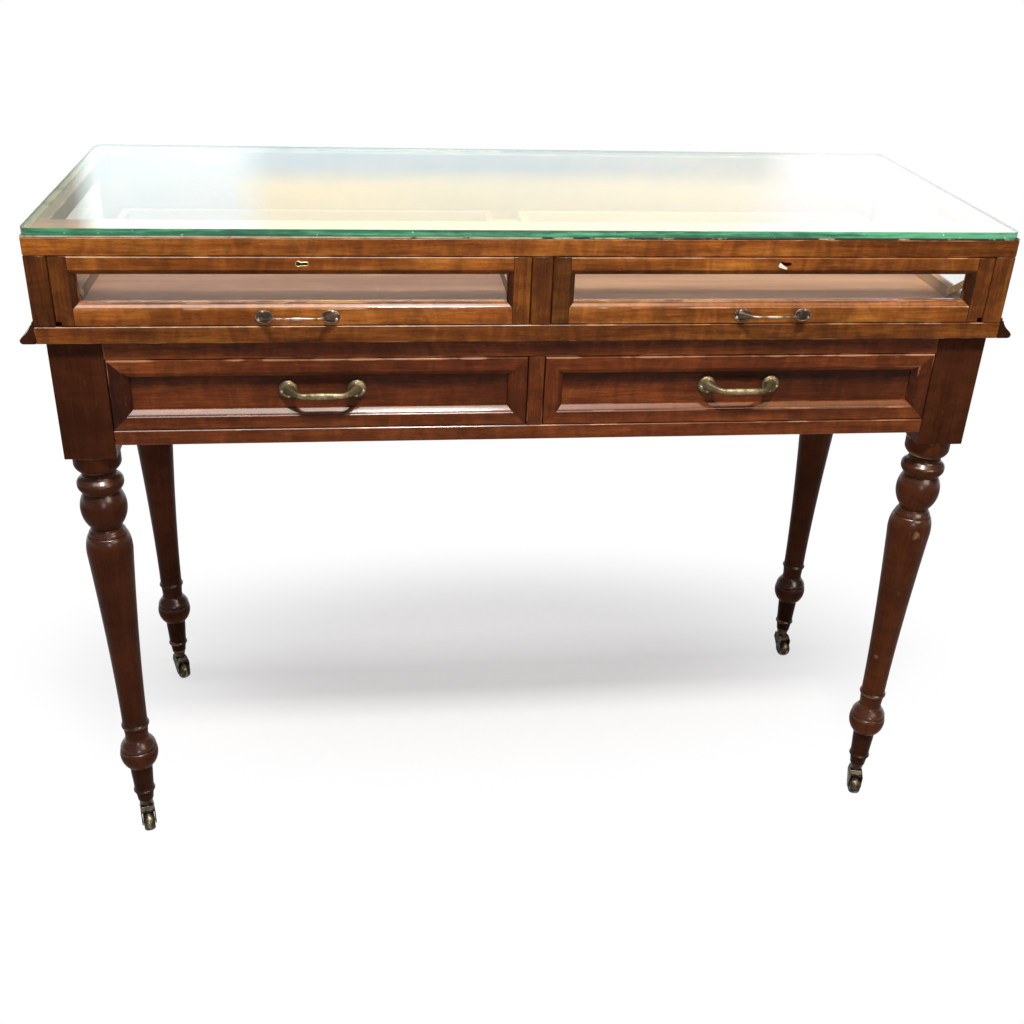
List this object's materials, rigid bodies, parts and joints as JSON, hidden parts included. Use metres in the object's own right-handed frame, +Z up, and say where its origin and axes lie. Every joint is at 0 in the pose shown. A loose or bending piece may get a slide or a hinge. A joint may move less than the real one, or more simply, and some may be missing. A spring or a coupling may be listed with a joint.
{
  "type": "display cabinet",
  "caption": "Glass-topped display table: glazed case with lockable display drawers over a frieze with panelled drawers, on turned legs with swivelling castors.",
  "frame": {"origin": "on the floor, under the middle of the whole table with its handles", "axes": "+X to the right along the length, the drawers face -Y, +Z up"},
  "size_m": [1.2364, 0.4794, 0.9282],
  "materials": {
    "case_wood": "polished, worn golden brown hardwood",
    "frieze_wood": "polished red-brown hardwood",
    "dark_wood": "polished dark brown hardwood",
    "tray_wood": "dusty, unpolished board",
    "inner_wood": "unpolished softwood",
    "plate_glass": "clear plate with green edges",
    "clear_glass": "clear thin pane",
    "felt": "worn pale bedding strip",
    "brass": "aged olive brass",
    "bronze": "dark patinated brass with worn rims",
    "castor_brass": "tarnished brass"
  },
  "bodies": {
    "table": {"glass_top": "plate_glass", "glass_bedding": "felt", "case_top_rail": "case_wood", "case_bottom_rail": "case_wood", "case_centre_stile": "case_wood", "case_post_left": "case_wood", "case_post_right": "case_wood", "case_back_board": "case_wood", "case_floor": "inner_wood", "end_top_rail_left": "case_wood", "end_top_rail_right": "case_wood", "end_bottom_rail_left": "case_wood", "end_bottom_rail_right": "case_wood", "end_glass_left": "clear_glass", "end_glass_right": "clear_glass", "end_moulding_left": "dark_wood", "end_moulding_right": "dark_wood", "frieze_top_rail": "frieze_wood", "frieze_bottom_rail": "frieze_wood", "frieze_centre_stile": "frieze_wood", "back_apron": "frieze_wood", "end_apron_left": "frieze_wood", "end_apron_right": "frieze_wood", "drawer_runner_left": "inner_wood", "drawer_runner_centre": "inner_wood", "drawer_runner_right": "inner_wood", "leg_front_left": "dark_wood", "leg_front_right": "dark_wood", "leg_back_left": "dark_wood", "leg_back_right": "dark_wood"},
    "display_drawer_left": {"display_drawer_left_front": "case_wood", "display_drawer_left_pane": "clear_glass", "display_drawer_left_tray": "tray_wood", "display_drawer_left_handle": "bronze", "display_drawer_left_lock": "brass", "display_drawer_left_brace_left": "brass", "display_drawer_left_brace_right": "brass"},
    "display_drawer_right": {"display_drawer_right_front": "case_wood", "display_drawer_right_pane": "clear_glass", "display_drawer_right_tray": "tray_wood", "display_drawer_right_handle": "bronze", "display_drawer_right_lock": "brass", "display_drawer_right_brace_left": "brass", "display_drawer_right_brace_right": "brass"},
    "lock_bolt_left": {"display_drawer_left_bolt": "brass"},
    "lock_bolt_right": {"display_drawer_right_bolt": "brass"},
    "lower_drawer_left": {"lower_drawer_left_front": "frieze_wood", "lower_drawer_left_box": "inner_wood", "lower_drawer_left_handle": "brass"},
    "lower_drawer_right": {"lower_drawer_right_front": "frieze_wood", "lower_drawer_right_box": "inner_wood", "lower_drawer_right_handle": "brass"},
    "castor_front_left": {"castor_horn_front_left": "castor_brass"},
    "castor_front_right": {"castor_horn_front_right": "castor_brass"},
    "castor_back_left": {"castor_horn_back_left": "castor_brass"},
    "castor_back_right": {"castor_horn_back_right": "castor_brass"},
    "wheel_front_left": {"castor_wheel_front_left": "castor_brass"},
    "wheel_front_right": {"castor_wheel_front_right": "castor_brass"},
    "wheel_back_left": {"castor_wheel_back_left": "castor_brass"},
    "wheel_back_right": {"castor_wheel_back_right": "castor_brass"}
  },
  "joints": [
    {"name": "display_drawer_left_slide", "type": "slide", "parent": "table", "child": "display_drawer_left", "axis": [0, -1, 0], "range_m": [0, 0.28]},
    {"name": "display_drawer_right_slide", "type": "slide", "parent": "table", "child": "display_drawer_right", "axis": [0, -1, 0], "range_m": [0, 0.28]},
    {"name": "lower_drawer_left_slide", "type": "slide", "parent": "table", "child": "lower_drawer_left", "axis": [0, -1, 0], "range_m": [0, 0.3]},
    {"name": "lower_drawer_right_slide", "type": "slide", "parent": "table", "child": "lower_drawer_right", "axis": [0, -1, 0], "range_m": [0, 0.3]},
    {"name": "lock_bolt_left_slide", "type": "slide", "parent": "display_drawer_left", "child": "lock_bolt_left", "axis": [0, 0, 1], "range_m": [0, 0.0065]},
    {"name": "lock_bolt_right_slide", "type": "slide", "parent": "display_drawer_right", "child": "lock_bolt_right", "axis": [0, 0, 1], "range_m": [0, 0.0065]},
    {"name": "castor_front_left_swivel", "type": "hinge", "parent": "table", "child": "castor_front_left", "pos_m": [-0.5595, -0.1783, 0.054], "axis": [0, 0, 1], "continuous": true},
    {"name": "castor_front_right_swivel", "type": "hinge", "parent": "table", "child": "castor_front_right", "pos_m": [0.5595, -0.1783, 0.054], "axis": [0, 0, 1], "continuous": true},
    {"name": "castor_back_left_swivel", "type": "hinge", "parent": "table", "child": "castor_back_left", "pos_m": [-0.5595, 0.2077, 0.054], "axis": [0, 0, 1], "continuous": true},
    {"name": "castor_back_right_swivel", "type": "hinge", "parent": "table", "child": "castor_back_right", "pos_m": [0.5595, 0.2077, 0.054], "axis": [0, 0, 1], "continuous": true},
    {"name": "wheel_front_left_spin", "type": "hinge", "parent": "castor_front_left", "child": "wheel_front_left", "pos_m": [-0.55696, -0.18849, 0.015], "axis": [0.9703, 0.2419, 0], "continuous": true},
    {"name": "wheel_front_right_spin", "type": "hinge", "parent": "castor_front_right", "child": "wheel_front_right", "pos_m": [0.55696, -0.18849, 0.015], "axis": [0.9703, -0.2419, 0], "continuous": true},
    {"name": "wheel_back_left_spin", "type": "hinge", "parent": "castor_back_left", "child": "wheel_back_left", "pos_m": [-0.55425, 0.19861, 0.015], "axis": [0.866, 0.5, 0], "continuous": true},
    {"name": "wheel_back_right_spin", "type": "hinge", "parent": "castor_back_right", "child": "wheel_back_right", "pos_m": [0.56168, 0.19743, 0.015], "axis": [0.9781, 0.2079, 0], "continuous": true}
  ]
}
